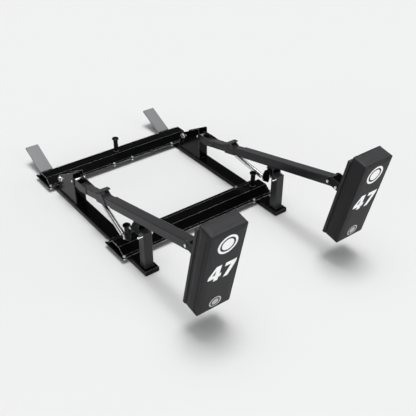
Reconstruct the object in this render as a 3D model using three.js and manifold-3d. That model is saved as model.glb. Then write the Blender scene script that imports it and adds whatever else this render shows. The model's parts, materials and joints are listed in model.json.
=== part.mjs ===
// Two-man blocking sled for football practice, in millimetres, +Z up.
// Two long runners lie along Y and two pressed cross beams are bolted over them. On each runner
// a rear mast carries the hinge of a long arm, a front post carries the rest that the arm lies on,
// a strut holds the arm back, and a tall cushion hangs on the arm's front end. Players stand at -Y.
import * as THREE from 'three';
import Module from 'manifold-3d';
import { mergeVertices } from 'three/addons/utils/BufferGeometryUtils.js';

const wasm = await Module();
wasm.setup();

// Driving dimensions
const armSpacing = 1524;        // centre to centre of the two arms
const frontBeamY = 426;         // from the runners' front ends to the front beam's centre
const rearBeamY = 1886;
const postY = 86;               // centre of the front post
const pivotY = 1320;            // arm hinge
const pivotZ = 316;
const armSlope = 12.85;         // degrees, the arm rises towards the cushion
const padLean = 12.1;           // degrees, the cushion's top leans over the player
const strutFootY = 330;         // lower pin of the strut
const strutFootZ = 223;
const strutHeadY = 770;         // upper pin of the strut
const strutHeadZ = 329;

// Clearances
const seatGap = 0.3;            // between faces that are bolted or welded together
const overrun = 5;              // how far a cutter runs past the face that it opens

// Fasteners
const bolt = { shank: 16, acrossFlats: 24, headHeight: 10, nutHeight: 13, tail: 9, holePlay: 1 };

// Runners and their upturned tips
const runner = { width: 144, height: 50, overhang: 193, wall: 5, corner: 8 };
const tip = { slope: 25.5, length: 358, band: 20, skin: 6, flange: 6, root: 34, tongue: 120, tongueHeight: 15 };

// Pressed hat beams and the plates that clamp them
const beam = { overhang: 118, topHalf: 58, webHalf: 129, lipHalf: 161, rise: 60, sheet: 6 };
const plate = { halfWidth: 141, halfDepth: 161, thickness: 5.7, corner: 10, boltX: 115, boltY: 144.5 };
const bollard = { shaft: 49, head: 76, height: 165, headHeight: 24, rim: 7, weld: 6, inset: 14 };

// Front post, its cap, and the bracket behind it
const post = { side: 88, top: 416, wall: 5, corner: 7 };
const cap = { thickness: 8, spigot: 62 };
const rest = {
  plate: 8, webZ: 374, lapY: 98, lap: 12, heelY: 222, heelZ: 418, padWidth: 92, padFront: 1220, padRear: 1127,
  padThickness: 12, bridge: 8, padCorner: 6, eye: 20, anchorBolt: 24, anchorBoltHeight: 9,
};
const restPin = { diameter: 20, z: 394, ahead: 26, near: 92, head: 26, headLength: 8, nose: 4 };

// Rear mast: a column between two cheeks, the hinge pin and the tie bar
const mast = { frontY: 1291, columnDepth: 88, columnTop: 265, wall: 5, corner: 7 };
const cheek = {
  inner: 51.5, thickness: 6, peakY: 1294, peakZ: 418, shoulderY: 1639, shoulderZ: 228, footY: 1671,
  peakRound: 22, shoulderRound: 26, slotY: 1588, slotZ: 144, slotHole: 22,
};
const pivotPin = { diameter: 24, near: 64, far: 82, collar: 38, collarLength: 9, chamfer: 2.5 };
const tieBar = { y: 1587, z: 212, diameter: 48, halfLength: 77, wall: 5, washer: 62, washerThickness: 4 };

// Arm: a rear tube with hinge ears, telescoped into a wider front tube
const arm = { drop: 50.7, joint: 716.7, rearEnd: 111.5, padGap: 64.8 };
const rearTube = { width: 86, height: 72, wall: 5, corner: 8, spigot: 150, endPlate: 6 };
const frontTube = { width: 96, height: 85, wall: 4.7, corner: 9 };
const ear = { thickness: 6, radius: 34, length: 260, waist: 8 };
const saddle = {
  plate: 6, strapWidth: 148, strapThickness: 10, strapLength: 65, strapRise: 61.5, centre: 521,
  footFront: 629, footRear: 462, lugRadius: 16, lugPlate: 6,
};

// Strut: a rod with a piston in a cylinder, an eye on each end
const strut = {
  rod: 16, eye: 30, eyeWidth: 14, pin: 12, cylinder: 48, cylinderWall: 4, gland: 18, glandStart: 40,
  headStart: 28, neck: 11, piston: 14, pistonStart: 64, footSpacer: 5, headX: 17, sideShift: 2.4,
  slack: 4.6, lugPlay: 3.4, pinHead: 22, pinHeadLength: 6,
};

// Pad: bracket, backboard and cushion
const pad = { width: 337, height: 893, depth: 185, reach: 2139.8, drop: 35.2 };
const board = { width: 331, rebate: 64, margin: 3, thickness: 28, corner: 5 };
const cushion = { corner: 7, crown: 7, draw: 3 };
const bracket = {
  plate: 6, top: 21.6, length: 207, topLength: 167, depth: 86, noseDepth: 78, facePlate: 8, faceWidth: 170,
  faceHeight: 212, faceCentre: -35.4, faceCorner: 12, endRound: 24,
};
const bracketBolts = [{ y: 190, z: -43 }, { y: 90, z: -37 }];

// Facets
const arcSteps = 2;             // an arc takes twice as many facets
const domeSteps = 4;            // on each curve of a bollard's head
const roundSteps = 18;          // round a pin or a bar
const shankSteps = 10;          // round a bolt's shank and its hole
const padSteps = { width: 10, height: 20, depth: 4 };

// Directions and angles
const X = new THREE.Vector3(1, 0, 0);
const Y = new THREE.Vector3(0, 1, 0);
const Z = new THREE.Vector3(0, 0, 1);
const slope = THREE.MathUtils.degToRad(armSlope);
const lean = THREE.MathUtils.degToRad(padLean);
const tipSlope = THREE.MathUtils.degToRad(tip.slope);

// Lengths and levels that follow from the sizes above
const runnerLength = rearBeamY + runner.overhang;
const beamHalf = armSpacing / 2 + beam.overhang;
const armFrontEnd = pad.reach - arm.padGap;
const postRear = postY + post.side / 2 + seatGap;
const plateBase = runner.height + seatGap;
const beamBase = plateBase + plate.thickness + seatGap;
const lipTop = beamBase + beam.sheet;
const beamTop = lipTop + beam.rise;
const strutLowX = post.side / 2 + seatGap + rest.plate + strut.footSpacer + seatGap + strut.eyeWidth / 2;
const strutHighX = strut.headX + strut.sideShift;

// Finishes
const blackPaint = finish(0x0b0b0c, 0.32, 0.25);
const darkGrey = finish(0x35363a, 0.4, 0.35);
const tipGrey = finish(0x8c8f94, 0.45, 0.5);
const brightSteel = finish(0xd4d6da, 0.2, 0.95);
const silverStrut = finish(0xc9ccd1, 0.25, 0.85);
const rubber = finish(0x141414, 0.85, 0);
const boardBlack = finish(0x191919, 0.7, 0);
const vinyl = finish(0x1f2023, 0.55, 0);

function finish(color, roughness, metalness) {
  return new THREE.MeshStandardMaterial({ color, roughness, metalness, flatShading: true });
}

// Solids and meshes
function solid(geometry) {
  geometry.deleteAttribute('normal');
  geometry.deleteAttribute('uv');
  const merged = mergeVertices(geometry);
  const vertProperties = new Float32Array(merged.attributes.position.array);
  const triVerts = new Uint32Array(merged.index.array);
  return new wasm.Manifold(new wasm.Mesh({ numProp: 3, vertProperties, triVerts }));
}

function piece(name, body, material) {
  const data = body.getMesh();
  const geometry = new THREE.BufferGeometry();
  geometry.setAttribute('position', new THREE.BufferAttribute(new Float32Array(data.vertProperties), 3));
  geometry.setIndex(new THREE.BufferAttribute(new Uint32Array(data.triVerts), 1));
  geometry.computeVertexNormals();
  const mesh = new THREE.Mesh(geometry, material);
  mesh.name = name;
  return mesh;
}

function join(parts) {
  return parts.reduce((whole, part) => whole.add(part));
}

function cut(body, tools) {
  return tools.reduce((whole, tool) => whole.subtract(tool), body);
}

// Outlines
function polygon(points) {
  return new THREE.Shape(points.map(([a, b]) => new THREE.Vector2(a, b)));
}

function roundedRect(width, height, radius, centreA = 0, centreB = 0) {
  const a = width / 2 - radius;
  const b = height / 2 - radius;
  const quarter = Math.PI / 2;
  const shape = new THREE.Shape();
  shape.absarc(centreA + a, centreB + b, radius, 0, quarter);
  shape.absarc(centreA - a, centreB + b, radius, quarter, 2 * quarter);
  shape.absarc(centreA - a, centreB - b, radius, 2 * quarter, 3 * quarter);
  shape.absarc(centreA + a, centreB - b, radius, 3 * quarter, 4 * quarter);
  return shape;
}

// An outline whose corners are rounded; each corner is [a, b, radius]
function roundedOutline(corners) {
  const shape = new THREE.Shape();
  corners.forEach(([a, b, radius], index) => {
    const here = new THREE.Vector2(a, b);
    const [beforeA, beforeB] = corners[(index + corners.length - 1) % corners.length];
    const [afterA, afterB] = corners[(index + 1) % corners.length];
    const before = new THREE.Vector2(beforeA, beforeB).sub(here);
    const after = new THREE.Vector2(afterA, afterB).sub(here);
    const reach = Math.min(radius, before.length() / 2, after.length() / 2);
    const start = here.clone().add(before.setLength(reach));
    const end = here.clone().add(after.setLength(reach));
    if (index === 0) shape.moveTo(start.x, start.y);
    else shape.lineTo(start.x, start.y);
    if (reach > 0) shape.quadraticCurveTo(here.x, here.y, end.x, end.y);
  });
  shape.closePath();
  return shape;
}

// Extrusions: along X from a (y, z) outline, along Y from an (x, z) outline, along Z from (x, y)
function extrude(shape, depth) {
  return new THREE.ExtrudeGeometry(shape, { depth, bevelEnabled: false, curveSegments: arcSteps });
}

function alongX(shape, from, to) {
  const geometry = extrude(shape, to - from);
  geometry.applyMatrix4(new THREE.Matrix4().makeBasis(Y, Z, X));
  geometry.translate(from, 0, 0);
  return solid(geometry);
}

function alongY(shape, from, to) {
  const geometry = extrude(shape, to - from);
  geometry.applyMatrix4(new THREE.Matrix4().makeBasis(X, Z, Y.clone().negate()));
  geometry.translate(0, to, 0);
  return solid(geometry);
}

function alongZ(shape, from, to) {
  const geometry = extrude(shape, to - from);
  geometry.translate(0, 0, from);
  return solid(geometry);
}

// A plate lying between two distances outward from the middle of a unit; side is -1 or +1
function plateOutward(shape, side, inner, outer) {
  return side > 0 ? alongX(shape, inner, outer) : alongX(shape, -outer, -inner);
}

// Round bars and turned pieces
function barX(diameter, from, to, y = 0, z = 0, steps = roundSteps) {
  const geometry = new THREE.CylinderGeometry(diameter / 2, diameter / 2, to - from, steps);
  geometry.rotateZ(-Math.PI / 2);
  geometry.translate((from + to) / 2, y, z);
  return solid(geometry);
}

function barZ(diameter, from, to, x = 0, y = 0, steps = roundSteps) {
  const geometry = new THREE.CylinderGeometry(diameter / 2, diameter / 2, to - from, steps);
  geometry.rotateX(Math.PI / 2);
  geometry.translate(x, y, (from + to) / 2);
  return solid(geometry);
}

function hexZ(acrossFlats, from, to, x, y) {
  return barZ(acrossFlats / Math.cos(Math.PI / 6), from, to, x, y, 6);
}

function hexX(acrossFlats, from, to, y, z) {
  return barX(acrossFlats / Math.cos(Math.PI / 6), from, to, y, z, 6);
}

// A turned profile of [radius, distance] pairs, its axis along X
function turnedX(profile) {
  const points = profile.map(([radius, distance]) => new THREE.Vector2(radius, distance));
  const geometry = new THREE.LatheGeometry(points, roundSteps);
  geometry.rotateZ(-Math.PI / 2);
  return solid(geometry);
}

function turnedZ(points) {
  const geometry = new THREE.LatheGeometry(points, roundSteps);
  geometry.rotateX(Math.PI / 2);
  return solid(geometry);
}

// A round bar from one distance to another along a direction that starts at the origin
function barAlong(direction, diameter, from, to) {
  const geometry = new THREE.CylinderGeometry(diameter / 2, diameter / 2, to - from, roundSteps);
  geometry.translate(0, (from + to) / 2, 0);
  geometry.applyQuaternion(new THREE.Quaternion().setFromUnitVectors(Y, direction));
  return solid(geometry);
}

// Runner: a flat rectangular tube, closed in front, with its sole cut up to the tip's slope
function runnerBody() {
  const middle = runner.height / 2;
  const innerWidth = runner.width - 2 * runner.wall;
  const innerHeight = runner.height - 2 * runner.wall;
  const tube = alongY(roundedRect(runner.width, runner.height, runner.corner, 0, middle), 0, runnerLength);
  const boreShape = roundedRect(innerWidth, innerHeight, runner.corner - runner.wall, 0, middle);
  const bore = alongY(boreShape, runner.wall, runnerLength + overrun);
  const lift = runner.height - tip.band / Math.cos(tipSlope);
  const run = lift / Math.tan(tipSlope);
  const past = overrun / Math.tan(tipSlope);
  const wedge = polygon([
    [runnerLength - run - past, -overrun],
    [runnerLength + past, -overrun],
    [runnerLength + past, lift + overrun],
  ]);
  return cut(tube, [bore, alongX(wedge, -runner.width, runner.width)]);
}

// Tip: a pressed tray on the runner's slope, with a tongue inside the runner
function tipBody() {
  const startY = runnerLength + seatGap;
  const onSlope = (along, below) => [
    startY + along * Math.cos(tipSlope) + below * Math.sin(tipSlope),
    runner.height + along * Math.sin(tipSlope) - below * Math.cos(tipSlope),
  ];
  const outer = polygon([
    onSlope(0, 0),
    [startY, runner.height - tip.band / Math.cos(tipSlope)],
    onSlope(tip.length, tip.band),
    onSlope(tip.length, 0),
  ]);
  const pocket = polygon([
    onSlope(tip.root, tip.skin),
    onSlope(tip.root, tip.band + overrun),
    onSlope(tip.length - tip.flange, tip.band + overrun),
    onSlope(tip.length - tip.flange, tip.skin),
  ]);
  const half = runner.width / 2;
  const tongueTop = runner.height - runner.wall - seatGap;
  const tongueWidth = runner.width - 2 * runner.wall - 2 * seatGap;
  const tongueMiddle = tongueTop - tip.tongueHeight / 2;
  const tongueCorner = runner.corner - runner.wall;
  const tongueShape = roundedRect(tongueWidth, tip.tongueHeight, tongueCorner, 0, tongueMiddle);
  const tray = cut(alongX(outer, -half, half), [alongX(pocket, -half + tip.flange, half - tip.flange)]);
  return tray.add(alongY(tongueShape, runnerLength - tip.tongue, startY + tip.root / 2));
}

// Cross beam: a pressed hat section with bolt holes in its lips
function beamBody(plateXs) {
  const bend = Math.atan2(beam.rise, beam.webHalf - beam.topHalf);
  const shift = beam.sheet * Math.tan(bend / 2);
  const rightHalf = [
    [beam.topHalf, beamTop],
    [beam.webHalf, lipTop],
    [beam.lipHalf, lipTop],
    [beam.lipHalf, beamBase],
    [beam.webHalf - shift, beamBase],
    [beam.topHalf - shift, beamTop - beam.sheet],
  ];
  const leftHalf = rightHalf.map(([y, z]) => [-y, z]).reverse();
  const hat = alongX(polygon([...rightHalf, ...leftHalf]), -beamHalf, beamHalf);
  const holes = plateXs.flatMap((centre) => plateBoltPlaces().map(([x, y]) => (
    barZ(bolt.shank + 2 * bolt.holePlay, beamBase - overrun, lipTop + overrun, centre + x, y, shankSteps)
  )));
  return cut(hat, holes);
}

function plateBoltPlaces() {
  return [-1, 1].flatMap((sideX) => [-1, 1].map((sideY) => [sideX * plate.boltX, sideY * plate.boltY]));
}

// Base plate with its four bolts; each bolt clamps a beam lip and ends in a nut under the plate
function basePlateBody() {
  const sheet = roundedRect(2 * plate.halfWidth, 2 * plate.halfDepth, plate.corner);
  const parts = [alongZ(sheet, plateBase, plateBase + plate.thickness)];
  const headBase = lipTop + seatGap;
  for (const [x, y] of plateBoltPlaces()) {
    const shankEnd = plateBase - bolt.nutHeight - bolt.tail;
    parts.push(barZ(bolt.shank, shankEnd, headBase + bolt.headHeight / 2, x, y, shankSteps));
    parts.push(hexZ(bolt.acrossFlats, headBase, headBase + bolt.headHeight, x, y));
    parts.push(hexZ(bolt.acrossFlats, plateBase - bolt.nutHeight, plateBase + plate.thickness / 2, x, y));
  }
  return join(parts);
}

// Bollard: a round post with a mushroom head, for a strap or a rope
function bollardBody() {
  const shaft = bollard.shaft / 2;
  const head = bollard.head / 2;
  const neck = bollard.height - bollard.headHeight;
  const profile = new THREE.Path();
  profile.moveTo(0, 0);
  profile.lineTo(shaft + bollard.weld, 0);
  profile.quadraticCurveTo(shaft, 0, shaft, bollard.weld);
  profile.lineTo(shaft, neck);
  profile.lineTo(head, neck + bollard.rim / 2);
  profile.lineTo(head, neck + bollard.rim);
  profile.bezierCurveTo(head, bollard.height - bollard.rim / 2, shaft, bollard.height, 0, bollard.height);
  return turnedZ(profile.getPoints(domeSteps));
}

// Front post: a square tube with cross holes for the pin that holds its cap
function postBody() {
  const outer = roundedRect(post.side, post.side, post.corner);
  const inner = roundedRect(post.side - 2 * post.wall, post.side - 2 * post.wall, post.corner - post.wall);
  const top = post.top - cap.thickness - seatGap;
  const tube = alongZ(outer, runner.height + seatGap, top);
  const bore = alongZ(inner, runner.height - overrun, top + overrun);
  const hole = barX(restPin.diameter + 2 * seatGap, -post.side, post.side, -restPin.ahead, restPin.z);
  return cut(tube, [bore, hole]);
}

function capBody() {
  const inside = post.side - 2 * post.wall - 2 * seatGap;
  const bore = inside - 2 * post.wall;
  const under = post.top - cap.thickness;
  const lid = alongZ(roundedRect(post.side, post.side, post.corner), under, post.top);
  const spigot = alongZ(roundedRect(inside, inside, post.corner - post.wall), under - cap.spigot, under + seatGap);
  return cut(lid.add(spigot), [
    alongZ(roundedRect(bore, bore, seatGap), under - cap.spigot - overrun, under),
    barX(restPin.diameter + 2 * seatGap, -post.side, post.side, -restPin.ahead, restPin.z),
  ]);
}

// A place on the resting arm, as [y, z] from its distance ahead of the hinge and its height
function onArm(ahead, height) {
  const level = height - arm.drop;
  return [
    pivotY - ahead * Math.cos(slope) + level * Math.sin(slope),
    pivotZ + ahead * Math.sin(slope) + level * Math.cos(slope),
  ];
}

// Rest bracket: a web behind the post, a gusset on each side of it and a sloping bridge over them
// that carries the arm; the outer gusset runs back and down as a hook that holds the strut's foot
function restOutline(withHook) {
  const [frontY, frontZ] = onArm(rest.padFront, bridgeLevel());
  const shape = new THREE.Shape();
  const lapZ = post.top - rest.lap;
  shape.moveTo(postRear, withHook ? rest.webZ : lapZ);
  if (withHook) addHook(shape);
  shape.lineTo(...onArm(rest.padRear, bridgeLevel()));
  shape.lineTo(frontY, frontZ);
  shape.quadraticCurveTo(frontY, post.top, rest.lapY, lapZ);
  shape.closePath();
  return shape;
}

function addHook(shape) {
  const spanY = strutFootY - rest.heelY;
  const spanZ = strutFootZ - rest.heelZ;
  const at = ([shareY, shareZ]) => [rest.heelY + shareY * spanY, rest.heelZ + shareZ * spanZ];
  const throatShares = [[-0.1, 0.24], [0.34, 0.4], [0.3, 0.85], [0.4, 1.02]];
  const backShares = [[1.2, 0.72], [0.93, 0.45], [0.5, 0.24]];
  const [neck, throat, belly, toe] = throatShares.map(at);
  const [back, hip, shoulder] = backShares.map(at);
  shape.lineTo(...neck);
  shape.quadraticCurveTo(...throat, ...belly);
  shape.lineTo(...toe);
  shape.absarc(strutFootY, strutFootZ, rest.eye, -Math.PI / 2 - slope, 0);
  shape.quadraticCurveTo(...back, ...hip);
  shape.lineTo(...shoulder);
  shape.lineTo(rest.heelY, rest.heelZ);
}

// Height of the bridge's upper face from the arm's axis
function bridgeLevel() {
  return -frontTube.height / 2 - rest.padThickness - 2 * seatGap;
}

function restBracketBody(side) {
  const inner = post.side / 2 + seatGap;
  const outer = inner + rest.plate;
  const level = bridgeLevel();
  const front = onArm(rest.padFront, level);
  const rear = onArm(rest.padRear, level);
  const bridge = polygon([
    rear,
    front,
    onArm(rest.padFront, level - rest.bridge),
    onArm(rest.padRear, level - rest.bridge),
  ]);
  const web = polygon([
    [postRear, rest.webZ],
    [postRear + rest.plate, rest.webZ],
    [postRear + rest.plate, (front[1] + rear[1]) / 2],
    [postRear, (front[1] + rear[1]) / 2],
  ]);
  const nutY = (rest.heelY + strutFootY) / 2 + rest.anchorBoltHeight;
  const nutZ = (rest.heelZ + strutFootZ) / 2 - rest.anchorBoltHeight / 2;
  const body = join([
    plateOutward(restOutline(true), side, inner, outer),
    plateOutward(restOutline(false), side, -outer, -inner),
    alongX(bridge, -outer, outer),
    alongX(web, -outer, outer),
    plateOutwardHex(side, outer, nutY, nutZ),
  ]);
  return cut(body, [barX(strut.pin + 2 * seatGap, -post.side, post.side, strutFootY, strutFootZ)]);
}

function plateOutwardHex(side, face, y, z) {
  const from = side * (face - rest.plate / 2);
  const to = side * (face + rest.anchorBoltHeight);
  return hexX(rest.anchorBolt, Math.min(from, to), Math.max(from, to), y, z);
}

// Rubber block on the bridge, drawn in the arm's own frame
function restPadBody() {
  const top = -arm.drop - frontTube.height / 2 - seatGap;
  const length = rest.padFront - rest.padRear;
  const middle = -(rest.padFront + rest.padRear) / 2;
  const block = roundedRect(rest.padWidth, length, rest.padCorner, 0, middle);
  return alongZ(block, top - rest.padThickness, top);
}

// Pins
function restPinBody() {
  const radius = restPin.diameter / 2;
  const far = post.side / 2 + 2 * seatGap;
  return turnedX([
    [0, -restPin.near],
    [radius - restPin.nose, -restPin.near],
    [radius, -restPin.near + restPin.nose],
    [radius, far],
    [restPin.head / 2, far],
    [restPin.head / 2, far + restPin.headLength],
    [0, far + restPin.headLength],
  ]);
}

function pivotPinBody() {
  const radius = pivotPin.diameter / 2;
  const collarStart = cheek.inner + cheek.thickness + seatGap;
  return turnedX([
    [0, -pivotPin.near],
    [radius - pivotPin.chamfer, -pivotPin.near],
    [radius, -pivotPin.near + pivotPin.chamfer],
    [radius, collarStart],
    [pivotPin.collar / 2, collarStart],
    [pivotPin.collar / 2, collarStart + pivotPin.collarLength],
    [radius, collarStart + pivotPin.collarLength],
    [radius, pivotPin.far - pivotPin.chamfer],
    [radius - pivotPin.chamfer, pivotPin.far],
    [0, pivotPin.far],
  ]);
}

function tieBarBody() {
  const radius = tieBar.diameter / 2;
  const face = cheek.inner + cheek.thickness + seatGap;
  const bore = radius - tieBar.wall;
  return turnedX([
    [bore, -tieBar.halfLength],
    [radius, -tieBar.halfLength],
    [radius, -face - tieBar.washerThickness],
    [tieBar.washer / 2, -face - tieBar.washerThickness],
    [tieBar.washer / 2, -face],
    [radius, -face],
    [radius, tieBar.halfLength],
    [bore, tieBar.halfLength],
    [bore, -tieBar.halfLength],
  ]);
}

function strutFootPinBody(side) {
  const radius = strut.pin / 2;
  const plateInner = post.side / 2 + seatGap;
  const plateOuter = plateInner + rest.plate;
  const eyeInner = plateOuter + strut.footSpacer;
  const eyeOuter = eyeInner + strut.eyeWidth + 2 * seatGap;
  const profile = [
    [0, plateInner - strut.pinHeadLength],
    [strut.pinHead / 2, plateInner - strut.pinHeadLength],
    [strut.pinHead / 2, plateInner - seatGap],
    [radius, plateInner - seatGap],
    [radius, plateOuter + seatGap],
    [strut.pinHead / 2, plateOuter + seatGap],
    [strut.pinHead / 2, eyeInner],
    [radius, eyeInner],
    [radius, eyeOuter],
    [strut.pinHead / 2, eyeOuter],
    [strut.pinHead / 2, eyeOuter + strut.pinHeadLength],
    [0, eyeOuter + strut.pinHeadLength],
  ];
  return side > 0 ? turnedX(profile) : turnedX(profile.map(([r, x]) => [r, -x]).reverse());
}

function strutHeadPinBody() {
  const radius = strut.pin / 2;
  const face = lugInner() + saddle.lugPlate + seatGap;
  return turnedX([
    [0, -face - strut.pinHeadLength],
    [strut.pinHead / 2, -face - strut.pinHeadLength],
    [strut.pinHead / 2, -face],
    [radius, -face],
    [radius, face],
    [strut.pinHead / 2, face],
    [strut.pinHead / 2, face + strut.pinHeadLength],
    [0, face + strut.pinHeadLength],
  ]);
}

function lugInner() {
  return strut.eyeWidth / 2 + strut.lugPlay;
}

// Rear mast
function columnBody() {
  const width = 2 * (cheek.inner - seatGap);
  const middle = mast.frontY + mast.columnDepth / 2;
  const outer = roundedRect(width, mast.columnDepth, mast.corner, 0, middle);
  const innerWidth = width - 2 * mast.wall;
  const innerDepth = mast.columnDepth - 2 * mast.wall;
  const inner = roundedRect(innerWidth, innerDepth, mast.corner - mast.wall, 0, middle);
  const tube = alongZ(outer, runner.height + seatGap, mast.columnTop);
  return cut(tube, [alongZ(inner, runner.height - overrun, mast.columnTop - mast.wall)]);
}

function cheekBody(side) {
  const foot = runner.height + seatGap;
  const outline = roundedOutline([
    [mast.frontY, foot, 0],
    [cheek.footY, foot, 0],
    [cheek.shoulderY, cheek.shoulderZ, cheek.shoulderRound],
    [cheek.peakY, cheek.peakZ, cheek.peakRound],
  ]);
  const sheet = plateOutward(outline, side, cheek.inner, cheek.inner + cheek.thickness);
  const reach = cheek.inner + cheek.thickness + overrun;
  return cut(sheet, [
    barX(pivotPin.diameter + 2 * seatGap, -reach, reach, pivotY, pivotZ),
    barX(tieBar.diameter + 2 * seatGap, -reach, reach, tieBar.y, tieBar.z),
    barX(cheek.slotHole, -reach, reach, cheek.slotY, cheek.slotZ),
  ]);
}

// Arm pieces, drawn in the arm's frame: the hinge at the origin, the cushion towards -Y
function rearTubeBody() {
  const boreWidth = rearTube.width - 2 * rearTube.wall;
  const boreHeight = rearTube.height - 2 * rearTube.wall;
  const front = -arm.joint - rearTube.spigot;
  const outer = roundedRect(rearTube.width, rearTube.height, rearTube.corner, 0, -arm.drop);
  const inner = roundedRect(boreWidth, boreHeight, rearTube.corner - rearTube.wall, 0, -arm.drop);
  const tube = alongY(outer, front, -arm.rearEnd);
  const bore = alongY(inner, front - overrun, -arm.rearEnd - rearTube.endPlate);
  const half = rearTube.width / 2;
  const ears = [-1, 1].map((side) => (
    plateOutward(earOutline(), side, half - ear.thickness / 4, half + ear.thickness)
  ));
  const hole = barX(pivotPin.diameter + 2 * seatGap, -rearTube.width, rearTube.width);
  return cut(join([cut(tube, [bore]), ...ears]), [hole]);
}

function earOutline() {
  const top = -arm.drop + rearTube.height / 2 - ear.waist;
  const bottom = -arm.drop - rearTube.height / 2 + ear.waist;
  const shape = new THREE.Shape();
  shape.moveTo(-ear.length, bottom);
  shape.lineTo(-arm.rearEnd, bottom);
  shape.absarc(0, 0, ear.radius, -Math.PI / 2, Math.PI / 2);
  shape.quadraticCurveTo(-ear.length / 2, ear.radius / 2, -ear.length, top);
  shape.closePath();
  return shape;
}

function frontTubeBody() {
  const boreWidth = frontTube.width - 2 * frontTube.wall;
  const boreHeight = frontTube.height - 2 * frontTube.wall;
  const outer = roundedRect(frontTube.width, frontTube.height, frontTube.corner, 0, -arm.drop);
  const inner = roundedRect(boreWidth, boreHeight, frontTube.corner - frontTube.wall, 0, -arm.drop);
  const tube = alongY(outer, -armFrontEnd, -arm.joint);
  const bore = alongY(inner, -armFrontEnd - overrun, -arm.joint + overrun);
  return cut(tube, [bore, ...bracketCutters()]);
}

// What the pad bracket takes out of the arm's end: all above its top plate, and two bolt holes
function bracketCutters() {
  const ceiling = bracket.top - bracket.plate - seatGap;
  const above = polygon([
    [0, ceiling],
    [bracket.length, ceiling],
    [bracket.length, ceiling + bracket.depth],
    [0, ceiling + bracket.depth],
  ]);
  const holeSize = bolt.shank + 2 * bolt.holePlay;
  const cutters = [
    alongX(above, -frontTube.width, frontTube.width),
    ...bracketBolts.map(({ y, z }) => barX(holeSize, -frontTube.width, frontTube.width, y, z, shankSteps)),
  ];
  return cutters.map((tool) => tool.transform(padPlacement().elements));
}

// The pad's frame inside the arm's frame: origin in the middle of the backboard's rear face
function padPlacement() {
  const matrix = new THREE.Matrix4().makeRotationX(lean + slope);
  return matrix.setPosition(0, -pad.reach, -arm.drop - pad.drop);
}

// Saddle round the rear tube: cheeks, a raised strap above, and two lugs below for the strut
function saddleBody(side) {
  const inner = rearTube.width / 2 + seatGap;
  const outer = inner + saddle.plate;
  const under = -arm.drop - rearTube.height / 2 - seatGap;
  const strapBase = -arm.drop + saddle.strapRise;
  const strapFront = -saddle.centre - saddle.strapLength / 2;
  const strapRear = -saddle.centre + saddle.strapLength / 2;
  const cheekOutline = polygon([
    [-saddle.footFront, under - saddle.plate],
    [-saddle.footRear, under - saddle.plate],
    [-saddle.footRear, -arm.drop],
    [strapRear, strapBase + saddle.strapThickness / 2],
    [strapFront, strapBase + saddle.strapThickness / 2],
    [-saddle.footFront, -arm.drop],
  ]);
  const strapShape = roundedRect(saddle.strapWidth, saddle.strapLength, saddle.plate, 0, -saddle.centre);
  const foot = polygon([
    [-saddle.footFront, under - saddle.plate],
    [-saddle.footRear, under - saddle.plate],
    [-saddle.footRear, under],
    [-saddle.footFront, under],
  ]);
  const lugMiddle = side * strut.headX;
  const lugs = [-1, 1].map((hand) => {
    const near = lugMiddle + hand * lugInner();
    const far = near + hand * saddle.lugPlate;
    return alongX(lugOutline(under), Math.min(near, far), Math.max(near, far));
  });
  const [headY, headZ] = strutHeadInArm();
  const hole = barX(strut.pin + 2 * seatGap, -saddle.strapWidth, saddle.strapWidth, headY, headZ);
  return cut(join([
    plateOutward(cheekOutline, 1, inner, outer),
    plateOutward(cheekOutline, -1, inner, outer),
    alongZ(strapShape, strapBase, strapBase + saddle.strapThickness),
    alongX(foot, -outer, outer),
    ...lugs,
  ]), [hole]);
}

// The strut's upper pin in the arm's frame, as [y, z]
function strutHeadInArm() {
  const y = strutHeadY - pivotY;
  const z = strutHeadZ - pivotZ;
  return [y * Math.cos(slope) - z * Math.sin(slope), y * Math.sin(slope) + z * Math.cos(slope)];
}

function lugOutline(under) {
  const [headY, headZ] = strutHeadInArm();
  const radius = saddle.lugRadius;
  const root = under - saddle.plate / 2;
  const shape = new THREE.Shape();
  shape.moveTo(headY - radius, root);
  shape.absarc(headY, headZ, radius, Math.PI, 2 * Math.PI);
  shape.lineTo(headY + 2 * radius, root);
  shape.closePath();
  return shape;
}

// Strut pieces, drawn from the lower pin; direction points to the upper pin
function strutLine(side) {
  const across = side * (strutHighX - strutLowX);
  return new THREE.Vector3(across, strutHeadY - strutFootY, strutHeadZ - strutFootZ);
}

function rodBody(side) {
  const line = strutLine(side);
  const direction = line.clone().normalize();
  const pistonEnd = line.length() - strut.pistonStart;
  const half = strut.eyeWidth / 2;
  const body = join([
    barX(strut.eye, -half, half),
    barAlong(direction, strut.rod, (strut.pinHead + strut.eye) / 4, pistonEnd),
    barAlong(direction, strut.cylinder - 2 * strut.cylinderWall - 2 * seatGap, pistonEnd - strut.piston, pistonEnd),
  ]);
  return cut(body, [barX(strut.pin + 2 * seatGap, -strut.eyeWidth, strut.eyeWidth)]);
}

function cylinderBody(side) {
  const line = strutLine(side);
  const direction = line.clone().normalize();
  const headEnd = line.length() - strut.headStart;
  const bore = strut.cylinder - 2 * strut.cylinderWall;
  const half = strut.eyeWidth / 2;
  const boreEnd = line.length() - strut.pistonStart + 2 * strut.cylinderWall;
  const shell = cut(barAlong(direction, strut.cylinder, strut.glandStart, headEnd), [
    barAlong(direction, bore, strut.glandStart + strut.gland, boreEnd),
    barAlong(direction, strut.rod + 2 * seatGap, strut.glandStart - overrun, strut.glandStart + 2 * strut.gland),
  ]);
  const eye = barX(strut.eye, line.x - half, line.x + half, line.y, line.z);
  const neck = barAlong(direction, strut.neck, headEnd - overrun, line.length());
  const hole = barX(strut.pin + 2 * strut.slack, line.x - strut.eyeWidth, line.x + strut.eyeWidth, line.y, line.z);
  return cut(join([shell, neck, eye]), [hole]);
}

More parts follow.
